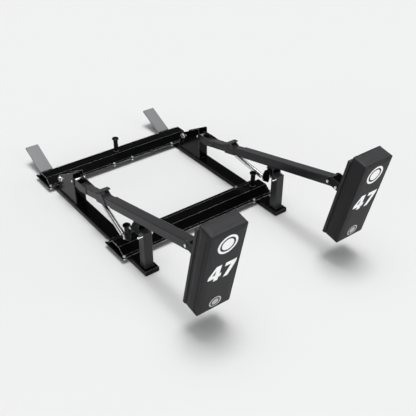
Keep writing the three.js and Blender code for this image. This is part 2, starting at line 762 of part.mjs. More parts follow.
// Pad pieces, drawn in the pad's frame: the cushion towards -Y, the arm towards +Y
function bracketBody() {
  const inner = frontTube.width / 2 + seatGap;
  const outer = inner + bracket.plate;
  const face = seatGap + bracket.facePlate;
  const cheekOutline = roundedOutline([
    [face / 2, bracket.top - bracket.depth, 0],
    [bracket.length, bracket.top - bracket.depth, bracket.endRound],
    [bracket.length, bracket.top - bracket.noseDepth / 4, bracket.endRound],
    [bracket.topLength, bracket.top, 0],
    [face / 2, bracket.top, 0],
  ]);
  const topShape = roundedRect(2 * outer, bracket.topLength - face / 2, seatGap, 0, (bracket.topLength + face / 2) / 2);
  const faceShape = roundedRect(bracket.faceWidth, bracket.faceHeight, bracket.faceCorner, 0, bracket.faceCentre);
  const head = outer + bolt.headHeight;
  const bolts = bracketBolts.flatMap(({ y, z }) => [
    barX(bolt.shank, -head, head, y, z, shankSteps),
    hexX(bolt.acrossFlats, outer - bracket.plate / 2, head, y, z),
    hexX(bolt.acrossFlats, -head, -outer + bracket.plate / 2, y, z),
  ]);
  return join([
    alongY(faceShape, seatGap, face),
    plateOutward(cheekOutline, 1, inner, outer),
    plateOutward(cheekOutline, -1, inner, outer),
    alongZ(topShape, bracket.top - bracket.plate, bracket.top),
    ...bolts,
  ]);
}

function boardBody() {
  const height = pad.height - board.rebate - board.margin;
  const middle = (board.margin - board.rebate) / 2;
  return alongY(roundedRect(board.width, height, board.corner, 0, middle), -board.thickness, 0);
}

// Cushion: a box with rounded edges, a crowned face and sides drawn in by the cover
function cushionBody() {
  const depth = pad.depth - board.thickness - seatGap - cushion.crown;
  const half = new THREE.Vector3(pad.width, depth, pad.height).multiplyScalar(1 / 2);
  const geometry = new THREE.BoxGeometry(
    pad.width, depth, pad.height, padSteps.width, padSteps.depth, padSteps.height,
  );
  const core = half.clone().subScalar(cushion.corner);
  const place = geometry.attributes.position;
  const point = new THREE.Vector3();
  const near = new THREE.Vector3();
  for (let index = 0; index < place.count; index += 1) {
    point.fromBufferAttribute(place, index);
    const shareX = point.x / half.x;
    const shareY = point.y / half.y;
    const shareZ = point.z / half.z;
    near.copy(point).clamp(core.clone().negate(), core);
    point.sub(near);
    if (point.length() > 0) point.setLength(cushion.corner);
    point.add(near);
    const swell = (1 - shareX * shareX) * (1 - shareZ ** 4);
    const waist = (1 - shareY * shareY) * cushion.draw;
    if (shareY < 0) point.y += shareY * swell * cushion.crown;
    point.x -= shareX * waist;
    point.z -= shareZ * waist;
    place.setXYZ(index, point.x, point.y, point.z);
  }
  geometry.translate(0, -board.thickness - seatGap - half.y, 0);
  return solid(geometry);
}

// One unit: everything that stands on one runner, mirrored from side to side
function unit(word, side) {
  const group = new THREE.Group();
  group.position.x = side * armSpacing / 2;
  const name = (part) => `${word}_${part}`;
  group.add(piece(name('runner'), runnerBody(), blackPaint));
  group.add(piece(name('runner_tip'), tipBody(), tipGrey));

  const postPiece = piece(name('front_post'), postBody(), blackPaint);
  const capPiece = piece(name('post_cap'), capBody(), darkGrey);
  postPiece.position.y = postY;
  capPiece.position.y = postY;
  group.add(postPiece, capPiece);
  group.add(piece(name('arm_rest_bracket'), restBracketBody(side), blackPaint));
  const pinPiece = piece(name('rest_pin'), restPinBody(), brightSteel);
  pinPiece.position.set(0, postY - restPin.ahead, restPin.z);
  group.add(pinPiece);

  group.add(piece(name('mast_column'), columnBody(), blackPaint));
  group.add(piece(name('mast_outer_cheek'), cheekBody(side), blackPaint));
  group.add(piece(name('mast_inner_cheek'), cheekBody(-side), blackPaint));
  const hingePin = piece(name('hinge_pin'), pivotPinBody(), brightSteel);
  hingePin.position.set(0, pivotY, pivotZ);
  const tie = piece(name('tie_bar'), tieBarBody(), brightSteel);
  tie.position.set(0, tieBar.y, tieBar.z);
  group.add(hingePin, tie);

  const restFrame = new THREE.Group();
  restFrame.position.set(0, pivotY, pivotZ);
  restFrame.rotation.x = -slope;
  restFrame.add(piece(name('arm_rest_pad'), restPadBody(), rubber));
  group.add(restFrame, armGroup(name, side));

  const rod = piece(name('strut_rod'), rodBody(side), silverStrut);
  const cylinder = piece(name('strut_cylinder'), cylinderBody(side), silverStrut);
  rod.position.set(side * strutLowX, strutFootY, strutFootZ);
  cylinder.position.copy(rod.position);
  const footPin = piece(name('strut_foot_pin'), strutFootPinBody(side), brightSteel);
  footPin.position.set(0, strutFootY, strutFootZ);
  group.add(rod, cylinder, footPin);
  return group;
}

function armGroup(name, side) {
  const group = new THREE.Group();
  group.position.set(0, pivotY, pivotZ);
  group.rotation.x = -slope;
  group.add(piece(name('arm_rear_tube'), rearTubeBody(), darkGrey));
  group.add(piece(name('arm_front_tube'), frontTubeBody(), darkGrey));
  group.add(piece(name('strut_saddle'), saddleBody(side), darkGrey));
  const headPin = piece(name('strut_head_pin'), strutHeadPinBody(), brightSteel);
  const [headY, headZ] = strutHeadInArm();
  headPin.position.set(side * strut.headX, headY, headZ);
  group.add(headPin);

  const padGroup = new THREE.Group();
  padGroup.position.set(0, -pad.reach, -arm.drop - pad.drop);
  padGroup.rotation.x = lean + slope;
  padGroup.add(piece(name('pad_bracket'), bracketBody(), blackPaint));
  padGroup.add(piece(name('pad_backboard'), boardBody(), boardBlack));
  padGroup.add(piece(name('pad_cushion'), cushionBody(), vinyl));
  group.add(padGroup);
  return group;
}

// What ties the two units together
function crossFrame() {
  const group = new THREE.Group();
  const half = armSpacing / 2;
  const places = [
    ['front_left', -half, frontBeamY], ['front_right', half, frontBeamY],
    ['rear_left', -half, rearBeamY], ['rear_centre', 0, rearBeamY], ['rear_right', half, rearBeamY],
  ];
  for (const [where, x, y] of places) {
    const mesh = piece(`${where}_base_plate`, basePlateBody(), blackPaint);
    mesh.position.set(x, y, 0);
    group.add(mesh);
  }
  const front = piece('front_cross_beam', beamBody([-half, half]), blackPaint);
  const rear = piece('rear_cross_beam', beamBody([-half, 0, half]), blackPaint);
  front.position.y = frontBeamY;
  rear.position.y = rearBeamY;
  group.add(front, rear);
  const bollards = [
    ['front_left', -half + bollard.inset, frontBeamY], ['front_right', half - bollard.inset, frontBeamY],
    ['rear_centre', 0, rearBeamY],
  ];
  for (const [where, x, y] of bollards) {
    const mesh = piece(`${where}_bollard`, bollardBody(), blackPaint);
    mesh.position.set(x, y, beamTop + seatGap);
    group.add(mesh);
  }
  return group;
}

// The whole sled, its origin in the middle of its footprint on the ground
const sled = new THREE.Group();
sled.add(crossFrame(), unit('left', -1), unit('right', 1));
const extent = new THREE.Box3().setFromObject(sled, true);
const centre = extent.getCenter(new THREE.Vector3());
sled.position.set(-centre.x, -centre.y, -extent.min.z);
sled.updateMatrixWorld(true);

export default sled;
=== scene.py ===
import json
from math import cos, pi, radians, sin

import bmesh
import bpy
from mathutils import Matrix, Vector
from mathutils.bvhtree import BVHTree

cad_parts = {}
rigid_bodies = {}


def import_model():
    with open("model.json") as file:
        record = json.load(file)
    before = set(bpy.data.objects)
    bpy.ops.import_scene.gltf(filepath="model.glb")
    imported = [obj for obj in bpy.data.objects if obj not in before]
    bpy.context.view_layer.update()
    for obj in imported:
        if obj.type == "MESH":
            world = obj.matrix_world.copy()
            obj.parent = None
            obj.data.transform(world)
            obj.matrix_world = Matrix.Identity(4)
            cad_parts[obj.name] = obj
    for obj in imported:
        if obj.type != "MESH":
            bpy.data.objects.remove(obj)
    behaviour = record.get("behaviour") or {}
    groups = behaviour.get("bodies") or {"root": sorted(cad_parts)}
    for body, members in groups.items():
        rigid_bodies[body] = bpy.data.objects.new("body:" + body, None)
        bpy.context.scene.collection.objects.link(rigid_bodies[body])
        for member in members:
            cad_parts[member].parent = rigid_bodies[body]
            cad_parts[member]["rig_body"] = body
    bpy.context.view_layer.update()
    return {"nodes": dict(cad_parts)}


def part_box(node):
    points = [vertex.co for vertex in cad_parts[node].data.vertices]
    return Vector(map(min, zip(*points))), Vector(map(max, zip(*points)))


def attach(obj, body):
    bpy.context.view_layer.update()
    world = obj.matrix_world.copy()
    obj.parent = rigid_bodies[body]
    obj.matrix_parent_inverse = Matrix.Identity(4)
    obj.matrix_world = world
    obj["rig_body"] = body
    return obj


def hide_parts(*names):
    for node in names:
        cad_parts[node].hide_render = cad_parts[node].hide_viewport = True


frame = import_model()
nodes = frame["nodes"]
sides = {"left": -1, "right": 1}

# The studio: a pale seamless floor, bright walls that are duller at the rear, a dark band above
# them and a bright ceiling, so that upward faces stay dark and upright ones mirror the floor.
# Far lights from above, from the left and from the front give the soft shadows. Seen directly,
# the room has the floor's tone.
def put(tree, socket, value):
    """A socket takes a value, or a link from another node's output."""
    if isinstance(value, bpy.types.NodeSocket):
        tree.links.new(value, socket)
    else:
        socket.default_value = value


def node(tree, kind, sockets=None, **settings):
    """A new node with its settings made and its sockets filled."""
    made = tree.nodes.new(kind)
    for name, value in settings.items():
        setattr(made, name, value)
    for key, value in (sockets or {}).items():
        put(tree, made.inputs[key], value)
    return made


def calc(tree, operation, first, second, clamp=False):
    """The value of a sum."""
    made = node(tree, "ShaderNodeMath", {0: first, 1: second}, operation=operation, use_clamp=clamp)
    return made.outputs[0]


def blend(tree, factor, first, second, kind="RGBA"):
    """A mix of two colours, or of two numbers where the kind is FLOAT."""
    made = node(tree, "ShaderNodeMix", data_type=kind)
    for socket, value in zip([item for item in made.inputs if item.enabled], (factor, first, second)):
        put(tree, socket, value)
    return [item for item in made.outputs if item.enabled][0]


def grey(tone):
    """A grey as a colour socket takes it."""
    return (tone, tone, tone, 1)


scene = bpy.context.scene
scene.view_settings.view_transform = "Standard"

camera_place = Vector((-3.068, -4.4793, 3.757))
camera_heading, camera_tilt, camera_roll = radians(37.496), radians(34.631), radians(0.376)
camera_lens, camera_sensor, camera_reach = 56.79, 36, 200
ahead = Vector((sin(camera_heading), cos(camera_heading), 0)) * cos(camera_tilt)
forward = ahead - Vector((0, 0, sin(camera_tilt)))
level = Vector((cos(camera_heading), -sin(camera_heading), 0))
above = level.cross(forward)
right = level * cos(camera_roll) + above * sin(camera_roll)
up = above * cos(camera_roll) - level * sin(camera_roll)
camera = bpy.data.objects.new("camera", bpy.data.cameras.new("camera"))
camera.data.sensor_width = camera_sensor
camera.data.lens = camera_lens
camera.data.clip_end = camera_reach
camera_axes = Matrix((right, up, -forward)).transposed().to_4x4()
camera.matrix_world = Matrix.Translation(camera_place) @ camera_axes
scene.collection.objects.link(camera)
scene.camera = camera

world = bpy.data.worlds.new("studio_air")
world.use_nodes = True
sky = world.node_tree
looking = node(sky, "ShaderNodeTexCoord").outputs["Generated"]
_, rearward, steepness = node(sky, "ShaderNodeSeparateXYZ", {0: looking}).outputs
bands = node(sky, "ShaderNodeValToRGB", {"Fac": steepness})
wall_top, dark_from, dark_to, ceiling_from = 0.29, 0.37, 0.86, 0.92
band_tones = (
    (0.0, 0.37), (0.12, 0.66), (wall_top, 0.8), (dark_from, 0.04), (dark_to, 0.04), (ceiling_from, 1.0),
)
while len(bands.color_ramp.elements) < len(band_tones):
    bands.color_ramp.elements.new(0.5)
room_tint = (0.99, 0.995, 1)
for element, (position, tone) in zip(bands.color_ramp.elements, band_tones):
    element.position = position
    element.color = (*(tone * share for share in room_tint), 1)
rear_wall_tone, room_strength, backdrop_tone = 0.2, 2.3, 0.87
rear_range = {"Value": rearward, "From Min": 0.1, "From Max": 0.6}
low_range = {"Value": steepness, "From Min": dark_from, "From Max": wall_top}
rear_side = node(sky, "ShaderNodeMapRange", rear_range).outputs[0]
low_down = node(sky, "ShaderNodeMapRange", low_range).outputs[0]
rear_wall = calc(sky, "MULTIPLY", rear_side, low_down)
room = sky.nodes["Background"]
room.inputs["Strength"].default_value = room_strength
room_color = blend(sky, rear_wall, bands.outputs["Color"], grey(rear_wall_tone))
put(sky, room.inputs["Color"], room_color)
backdrop = node(sky, "ShaderNodeBackground", {"Color": grey(backdrop_tone)})
in_sight = node(sky, "ShaderNodeLightPath").outputs["Is Camera Ray"]
mixed = {0: in_sight, 1: room.outputs[0], 2: backdrop.outputs[0]}
seen = node(sky, "ShaderNodeMixShader", mixed).outputs[0]
put(sky, sky.nodes["World Output"].inputs["Surface"], seen)
scene.world = world

lamps = {
    "overhead_light": {"toward": (0.07, 0.01, 1.0), "softness": 20, "strength": 1.9},
    "left_light": {"toward": (-1.0, -0.1, 0.3), "softness": 30, "strength": 0.3},
    "front_light": {"toward": (0.3, -1.0, 0.5), "softness": 30, "strength": 0.35},
}
for name, values in lamps.items():
    lamp = bpy.data.objects.new(name, bpy.data.lights.new(name, "SUN"))
    lamp.data.angle = radians(values["softness"])
    lamp.data.energy = values["strength"]
    toward = Vector(values["toward"])
    lamp.matrix_world = toward.to_track_quat("Z", "Y").to_matrix().to_4x4()
    scene.collection.objects.link(lamp)

floor_size, floor_tone, floor_drop = 200, 0.655, 0.0005
floor_mesh = bpy.data.meshes.new("floor")
half = floor_size / 2
floor_corners = [(x * half, y * half, 0) for x, y in ((-1, -1), (1, -1), (1, 1), (-1, 1))]
floor_mesh.from_pydata(floor_corners, [], [(0, 1, 2, 3)])
floor = bpy.data.objects.new("floor", floor_mesh)
floor.location.z = -floor_drop
scene.collection.objects.link(floor)
floor_paint = bpy.data.materials.new("pale_floor")
floor_paint.use_nodes = True
floor_surface = floor_paint.node_tree.nodes["Principled BSDF"]
floor_surface.inputs["Base Color"].default_value = grey(floor_tone)
floor_surface.inputs["Roughness"].default_value = 0.9
floor_surface.inputs["Specular IOR Level"].default_value = 0.1
floor_mesh.materials.append(floor_paint)


# Runners: flat rectangular steel tube, bent and welded, painted gloss black inside and out.
# The paint is a little uneven and gathers dust on top. Its edges get a grey tone that is partly worn
# paint and partly a painted highlight.
def noise(tree, place, scale, detail=2, **sockets):
    """A cloudy pattern from 0 to 1 in the piece's own axes."""
    fill = {"Vector": place, "Scale": scale, "Detail": detail, **sockets}
    return node(tree, "ShaderNodeTexNoise", fill).outputs["Fac"]


def group_socket(tree, name, kind, value=None, is_output=False):
    """A named input or output of a node group."""
    direction = "OUTPUT" if is_output else "INPUT"
    socket = tree.interface.new_socket(name, in_out=direction, socket_type=kind)
    if value is not None:
        socket.default_value = value
    return socket


def new_material(name):
    """A material, its nodes, its surface and the place of a point in the piece's own axes."""
    material = bpy.data.materials.new(name)
    material.use_nodes = True
    tree = material.node_tree
    place = node(tree, "ShaderNodeTexCoord").outputs["Object"]
    return material, tree, tree.nodes["Principled BSDF"], place


def build_paint_skin():
    """Colour, roughness and normal of sprayed paint with a film of dust, and an edge tone that is
    partly worn paint and partly painted light: a painted highlight where the tone is pale, painted
    shade where it is dark.
    """
    tree = bpy.data.node_groups.new("paint_skin", "ShaderNodeTree")
    group_socket(tree, "Paint", "NodeSocketColor", (0.02, 0.02, 0.02, 1))
    group_socket(tree, "Edge Tone Worn And Lit", "NodeSocketColor", (0.2, 0.2, 0.21, 1))
    group_socket(tree, "Edge Share Worn And Lit", "NodeSocketFloat", 0.3)
    group_socket(tree, "Dust", "NodeSocketFloat", 0.1)
    group_socket(tree, "Gloss Roughness", "NodeSocketFloat", 0.3)
    group_socket(tree, "Peel", "NodeSocketFloat", 0.1)
    group_socket(tree, "Color", "NodeSocketColor", is_output=True)
    group_socket(tree, "Roughness", "NodeSocketFloat", is_output=True)
    group_socket(tree, "Normal", "NodeSocketVector", is_output=True)
    given = tree.nodes.new("NodeGroupInput").outputs
    result = tree.nodes.new("NodeGroupOutput").inputs
    place = node(tree, "ShaderNodeTexCoord").outputs["Object"]
    facing = node(tree, "ShaderNodeNewGeometry").outputs["Normal"]

    edge_width, edge_contrast = 0.0045, 26.0
    patch_scale, patch_level, patch_contrast, patch_share = 30, 0.4, 5.0, 0.6
    rounded = node(tree, "ShaderNodeBevel", {"Radius": edge_width}, samples=6).outputs["Normal"]
    alike = node(tree, "ShaderNodeVectorMath", {0: rounded, 1: facing}, operation="DOT_PRODUCT")
    turned = calc(tree, "SUBTRACT", 1.0, alike.outputs["Value"])
    edge = calc(tree, "MULTIPLY", turned, edge_contrast, clamp=True)
    cloud = calc(tree, "SUBTRACT", noise(tree, place, patch_scale, detail=6), patch_level)
    patches = calc(tree, "MULTIPLY", cloud, patch_contrast, clamp=True)
    share = calc(tree, "ADD", calc(tree, "MULTIPLY", patches, patch_share), 1 - patch_share)
    # Edge tone: partly worn paint, partly painted light. A pale tone paints a highlight on the edges, a
    # dark one paints shade.
    worn_and_lit_edges = calc(tree, "MULTIPLY", calc(tree, "MULTIPLY", edge, share), given["Edge Share Worn And Lit"], clamp=True)

    dust_scale, dust_level, dust_contrast = 6, 0.3, 1.4
    height = node(tree, "ShaderNodeSeparateXYZ", {0: facing}).outputs["Z"]
    tilted = calc(tree, "SUBTRACT", height, dust_level)
    upward = calc(tree, "MULTIPLY", tilted, dust_contrast, clamp=True)
    settled = calc(tree, "MULTIPLY", upward, noise(tree, place, dust_scale, detail=5))
    film = calc(tree, "MULTIPLY", settled, given["Dust"], clamp=True)

    dust_color, dust_roughness, chip_roughness = (0.42, 0.41, 0.39, 1), 0.6, 0.15
    gloss_scale, uneven_gloss = 14, 0.22
    dusty = blend(tree, film, given["Paint"], dust_color)
    put(tree, result["Color"], blend(tree, worn_and_lit_edges, dusty, given["Edge Tone Worn And Lit"]))
    unevenness = calc(tree, "SUBTRACT", noise(tree, place, gloss_scale, detail=4), 0.5)
    cloudy = calc(tree, "MULTIPLY", unevenness, uneven_gloss)
    clean = calc(tree, "ADD", given["Gloss Roughness"], cloudy)
    rough = calc(tree, "ADD", clean, calc(tree, "MULTIPLY", film, dust_roughness))
    scuffed = calc(tree, "MULTIPLY", worn_and_lit_edges, chip_roughness)
    put(tree, result["Roughness"], calc(tree, "ADD", rough, scuffed, clamp=True))

    peel_depth, peel_scale = 0.0006, 320
    grain = noise(tree, place, peel_scale)
    peel = {"Strength": given["Peel"], "Distance": peel_depth, "Height": grain}
    put(tree, result["Normal"], node(tree, "ShaderNodeBump", peel).outputs["Normal"])
    return tree


paint_skin = build_paint_skin()


def painted(name, paint, roughness, edge_share_worn_and_lit, dust, specular, peel=0.12, edge_tone_worn_and_lit=(0.24, 0.24, 0.25)):
    """A sprayed steel finish, with an edge tone that is partly worn paint and partly painted light."""
    material, tree, surface, _ = new_material(name)
    skin = node(tree, "ShaderNodeGroup", node_tree=paint_skin)
    values = {
        "Paint": (*paint, 1), "Edge Tone Worn And Lit": (*edge_tone_worn_and_lit, 1), "Edge Share Worn And Lit": edge_share_worn_and_lit, "Dust": dust,
        "Gloss Roughness": roughness, "Peel": peel,
    }
    for label, value in values.items():
        skin.inputs[label].default_value = value
    put(tree, surface.inputs["Base Color"], skin.outputs["Color"])
    put(tree, surface.inputs["Roughness"], skin.outputs["Roughness"])
    put(tree, surface.inputs["Normal"], skin.outputs["Normal"])
    surface.inputs["Specular IOR Level"].default_value = specular
    return material


merge_distance, flat_angle, corner_angle = 0.00002, radians(0.6), radians(24)


def evaluated(item):
    """An object with its modifiers worked out."""
    return item.evaluated_get(bpy.context.evaluated_depsgraph_get())


def dress(piece_name, material, edge=0.0016):
    """A merged copy of a CAD piece, its edges rounded as on rolled or sawn steel, replaces it."""
    form = bmesh.new()
    form.from_mesh(nodes[piece_name].data)
    bmesh.ops.remove_doubles(form, verts=form.verts, dist=merge_distance)
    bmesh.ops.dissolve_limit(form, angle_limit=flat_angle, verts=form.verts, edges=form.edges)
    for face in form.faces:
        face.smooth = True
    mesh = bpy.data.meshes.new(piece_name + "_rounded")
    form.to_mesh(mesh)
    form.free()
    draft = bpy.data.objects.new(piece_name + "_draft", mesh)
    scene.collection.objects.link(draft)
    bevel = draft.modifiers.new("rounding", "BEVEL")
    bevel.width = edge
    bevel.segments = 2
    bevel.limit_method = "ANGLE"
    bevel.angle_limit = corner_angle
    bevel.harden_normals = True
    settle = draft.modifiers.new("settle", "WEIGHTED_NORMAL")
    settle.keep_sharp = True
    finished = bpy.data.meshes.new_from_object(evaluated(draft))
    bpy.data.objects.remove(draft)
    finished.materials.clear()
    finished.materials.append(material)
    piece = bpy.data.objects.new(piece_name + "_finished", finished)
    scene.collection.objects.link(piece)
    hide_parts(piece_name)
    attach(piece, nodes[piece_name]["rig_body"])
    return piece


black = (0.0009, 0.0009, 0.001)
black_paint = painted(
    "gloss_black_paint", black, roughness=0.18, edge_share_worn_and_lit=0.6, dust=0.002, specular=0.11,
)
for word in sides:
    dress(f"{word}_runner", black_paint, edge=0.001)

# Tips: pressed steel trays pushed into the runners' rear ends, in a dull mid grey coat. Their
# edges carry a dark painted shade.
tip_grey = painted(
    "dull_grey_coat", (0.165, 0.17, 0.178),
    roughness=0.46, edge_share_worn_and_lit=0.8, dust=0.06, specular=0.3, edge_tone_worn_and_lit=(0.06, 0.06, 0.062),
)
for word in sides:
    dress(f"{word}_runner_tip", tip_grey)

# Cross beams: sheet pressed to a hat section, gloss black, bolted through its lips. A pale grey
# painted highlight runs along their bends and the edges of the lips.
beam_black_with_painted_highlights = painted(
    "beam_black_paint", black,
    roughness=0.18, edge_share_worn_and_lit=1.0, dust=0.002, specular=0.11, edge_tone_worn_and_lit=(0.5, 0.5, 0.51),
)
for where in ("front", "rear"):
    dress(f"{where}_cross_beam", beam_black_with_painted_highlights, edge=0.003)


# Base plates: flat black plates under the beams. Their zinc plated bolts stand up through the
# lips, and the nuts show under the plate.
def bolted(name, paint, beyond, behind=None):
    """Black paint on a plate and bright plating on its bolts.

    The bolts lie beyond a level along one of two directions, and behind a third level."""
    zinc, zinc_roughness, zinc_metal = (0.8, 0.81, 0.82, 1), 0.3, 0.8
    material = painted(name, paint, roughness=0.18, edge_share_worn_and_lit=0.6, dust=0.002, specular=0.11)
    tree = material.node_tree
    surface = tree.nodes["Principled BSDF"]
    place = node(tree, "ShaderNodeTexCoord").outputs["Object"]

    def past(direction, level):
        along = node(tree, "ShaderNodeVectorMath", {0: place, 1: direction}, operation="DOT_PRODUCT")
        return calc(tree, "GREATER_THAN", along.outputs["Value"], level)

    mask = calc(tree, "MAXIMUM", *[past(direction, level) for direction, level in beyond])
    if behind:
        mask = calc(tree, "MULTIPLY", mask, past(*behind))
    color = surface.inputs["Base Color"].links[0].from_socket
    rough = surface.inputs["Roughness"].links[0].from_socket
    put(tree, surface.inputs["Base Color"], blend(tree, mask, color, zinc))
    put(tree, surface.inputs["Roughness"], blend(tree, mask, rough, zinc_roughness, "FLOAT"))
    put(tree, surface.inputs["Metallic"], calc(tree, "MULTIPLY", mask, zinc_metal))
    return material


lip_height = 0.0062
lip_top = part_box("front_cross_beam")[0].z + lip_height
runner_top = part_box("left_runner")[1].z
above_and_below = (((0, 0, 1), lip_top), ((0, 0, -1), -runner_top))
bolted_black = bolted("black_plate_bright_bolts", black, above_and_below)
for where in ("front_left", "front_right", "rear_left", "rear_centre", "rear_right"):
    dress(f"{where}_base_plate", bolted_black, edge=0.0008)

# Bollards: turned steel posts with mushroom heads, welded to the beams and painted with them.
for where in ("front_left", "front_right", "rear_centre"):
    dress(f"{where}_bollard", black_paint)

# Front posts: square tube welded to the runners, with plastic caps pressed into their tops.
post_grey = painted(
    "post_dark_grey_paint", (0.019, 0.019, 0.021),
    roughness=0.36, edge_share_worn_and_lit=0.3, dust=0.02, specular=0.25,
)
bracket_black = painted(
    "bracket_black_paint", black, roughness=0.35, edge_share_worn_and_lit=0.5, dust=0.002, specular=0.02,
)
cap_grey = painted(
    "cap_grey_plastic", (0.035, 0.035, 0.037),
    roughness=0.5, edge_share_worn_and_lit=0.1, dust=0.1, specular=0.4, peel=0.3,
)
for word in sides:
    dress(f"{word}_front_post", post_grey)
    dress(f"{word}_post_cap", cap_grey)
    dress(f"{word}_arm_rest_bracket", bracket_black)

# Rest pads: black rubber blocks glued to the brackets' bridges, matt and slightly pitted.
block_rubber = painted(
    "rest_rubber", (0.012, 0.012, 0.012),
    roughness=0.8, edge_share_worn_and_lit=0.0, dust=0.25, specular=0.3, peel=0.6,
)
for word in sides:
    dress(f"{word}_arm_rest_pad", block_rubber, edge=0.002)


# Pins: turned steel, bright plated, with faint turning marks round them.
def plated_steel(name, color, roughness, scratch):
    """Bright metal whose marks are a little darker and rougher."""
    material, tree, surface, place = new_material(name)
    surface.inputs["Metallic"].default_value = 1.0
    mark_scale, mark_shade = (900, 60, 60), 0.94
    stretched = node(tree, "ShaderNodeMapping", {"Vector": place, "Scale": mark_scale}).outputs[0]
    marks = noise(tree, stretched, 1, detail=3)
    darker = tuple(value * mark_shade for value in color)
    put(tree, surface.inputs["Base Color"], blend(tree, marks, (*color, 1), (*darker, 1)))
    span = {"Value": marks, "To Min": roughness, "To Max": roughness + scratch}
    put(tree, surface.inputs["Roughness"], node(tree, "ShaderNodeMapRange", span).outputs["Result"])
    return material


bright_pin = plated_steel("bright_plated_pin", (0.86, 0.87, 0.88), roughness=0.16, scratch=0.16)
for word in sides:
    for part in ("rest_pin", "hinge_pin", "strut_foot_pin", "strut_head_pin"):
        dress(f"{word}_{part}", bright_pin, edge=0.0006)

# Masts: a box column between two flame cut cheeks, welded to the runner in gloss black, with a
# bright round tie bar across them.
for word in sides:
    dress(f"{word}_mast_column", black_paint)
    dress(f"{word}_mast_outer_cheek", black_paint, edge=0.001)
    dress(f"{word}_mast_inner_cheek", black_paint, edge=0.001)
    dress(f"{word}_tie_bar", bright_pin)

# Arms: square tubes in dark grey satin paint, the rear one with hinge ears and telescoped
# into the front one. The saddle with its raised strap is clamped round the rear tube.
arm_grey = painted(
    "satin_dark_grey_paint", (0.018, 0.018, 0.02),
    roughness=0.2, edge_share_worn_and_lit=0.3, dust=0.01, specular=0.13,
)
for word in sides:
    dress(f"{word}_arm_front_tube", arm_grey)
    dress(f"{word}_arm_rear_tube", arm_grey)
    dress(f"{word}_strut_saddle", arm_grey)

# Struts: a bright plated rod and cylinder that hold the arm back.
strut_silver = plated_steel("bright_strut", (0.68, 0.685, 0.69), roughness=0.23, scratch=0.04)
for word in sides:
    dress(f"{word}_strut_rod", strut_silver, edge=0.0008)
    dress(f"{word}_strut_cylinder", strut_silver, edge=0.0012)

# Pad brackets: folded and welded plate, black, with two bright bolts through the arm's end.
pad_lean, arm_slope = radians(12.1), radians(12.85)
post_half_width, cheek_face, face_plate, past_face = 0.044, 0.0546, 0.0083, 0.004


def pad_frame(word):
    """Where a pad hangs: the origin is in the middle of the backboard, -Y to the player."""
    low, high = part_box(f"{word}_pad_backboard")
    return Matrix.Translation((low + high) / 2) @ Matrix.Rotation(pad_lean, 4, "X")


def spans(piece_name, place):
    """Two corners of a CAD piece's box, measured along the axes of a place."""
    turned = [place.inverted() @ vertex.co for vertex in nodes[piece_name].data.vertices]
    return [
        Vector([pick(point[axis] for point in turned) for axis in range(3)])
        for pick in (min, max)
    ]


board_thickness = spans("left_pad_backboard", pad_frame("left"))[1].y * 2
for word in sides:
    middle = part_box(f"{word}_front_post")[0].x + post_half_width
    place = pad_frame(word)
    rearward = place.to_3x3() @ Vector((0, 1, 0))
    face_level = rearward.dot(place.translation) + board_thickness / 2 + face_plate + past_face
    sideways = (((1, 0, 0), middle + cheek_face), ((-1, 0, 0), cheek_face - middle))
    bracket_paint = bolted(f"{word}_bracket_black", black, sideways, (rearward, face_level))
    dress(f"{word}_pad_bracket", bracket_paint, edge=0.0008)

# Backboards: plywood stained black, a little smaller than the cushions.
board_black = painted(
    "black_stained_board", (0.012, 0.012, 0.012),
    roughness=0.6, edge_share_worn_and_lit=0.2, dust=0.1, specular=0.3, peel=0.5,
)
for word in sides:
    dress(f"{word}_pad_backboard", board_black, edge=0.003)

# Cushions: a tall block of firm foam in a sewn cover of black coated fabric. The cover pulls the
# sides in a little and the front face swells. Piping runs round the front and the rear edges.
cushion_low, cushion_high = spans("left_pad_cushion", pad_frame("left"))
cushion_size = cushion_high - cushion_low
cushion_middle = (cushion_low + cushion_high) / 2
crown = 0.007


def swollen_block():
    """The stuffed cover, blown up by a short cloth simulation in the pad's own frame."""
    slack, corner_radius, corner_steps, voxel = 0.0015, 0.007, 3, 0.0058
    pressure, frame_count, furthest = 4, 20, 0.0045
    core = cushion_size - Vector((2 * slack, crown + 2 * slack, 2 * slack))
    core_middle = (cushion_middle.x, cushion_middle.y + crown / 2, cushion_middle.z)
    rear = cushion_high.y
    form = bmesh.new()
    bmesh.ops.create_cube(form, size=1)
    bmesh.ops.scale(form, vec=core, verts=form.verts)
    bmesh.ops.bevel(
        form, geom=form.edges, offset=corner_radius, segments=corner_steps,
        profile=0.5, affect="EDGES",
    )
    bmesh.ops.translate(form, vec=core_middle, verts=form.verts)
    mesh = bpy.data.meshes.new("cushion_cover")
    form.to_mesh(mesh)
    form.free()
    cover = bpy.data.objects.new("cushion_cover", mesh)
    scene.collection.objects.link(cover)
    remesh = cover.modifiers.new("remesh", "REMESH")
    remesh.mode = "VOXEL"
    remesh.voxel_size = voxel
    bpy.context.view_layer.objects.active = cover
    bpy.ops.object.select_all(action="DESELECT")
    cover.select_set(True)
    bpy.ops.object.modifier_apply(modifier=remesh.name)
    start = [vertex.co.copy() for vertex in cover.data.vertices]
    cloth = cover.modifiers.new("cloth", "CLOTH")
    cloth.settings.quality = 4
    cloth.settings.use_pressure = True
    cloth.settings.uniform_pressure_force = pressure
    cloth.settings.effector_weights.gravity = 0
    for number in range(1, frame_count + 1):
        scene.frame_set(number)
    settled = evaluated(cover).to_mesh()
    moved = [vertex.co.copy() for vertex in settled.vertices]
    cover.modifiers.remove(cloth)
    scene.frame_set(1)
    for vertex, before, after in zip(cover.data.vertices, start, moved):
        step = after - before
        if step.length > furthest:
            step.length = furthest
        vertex.co = before + step
        vertex.co.y = min(vertex.co.y, rear)
    smooth = cover.modifiers.new("smooth", "SMOOTH")
    smooth.iterations = 2
    finer = cover.modifiers.new("finer", "SUBSURF")
    finer.levels = 1
    finer.render_levels = 1
    result = bpy.data.meshes.new_from_object(evaluated(cover))
    bpy.data.objects.remove(cover)
    for face in result.polygons:
        face.use_smooth = True
    return result


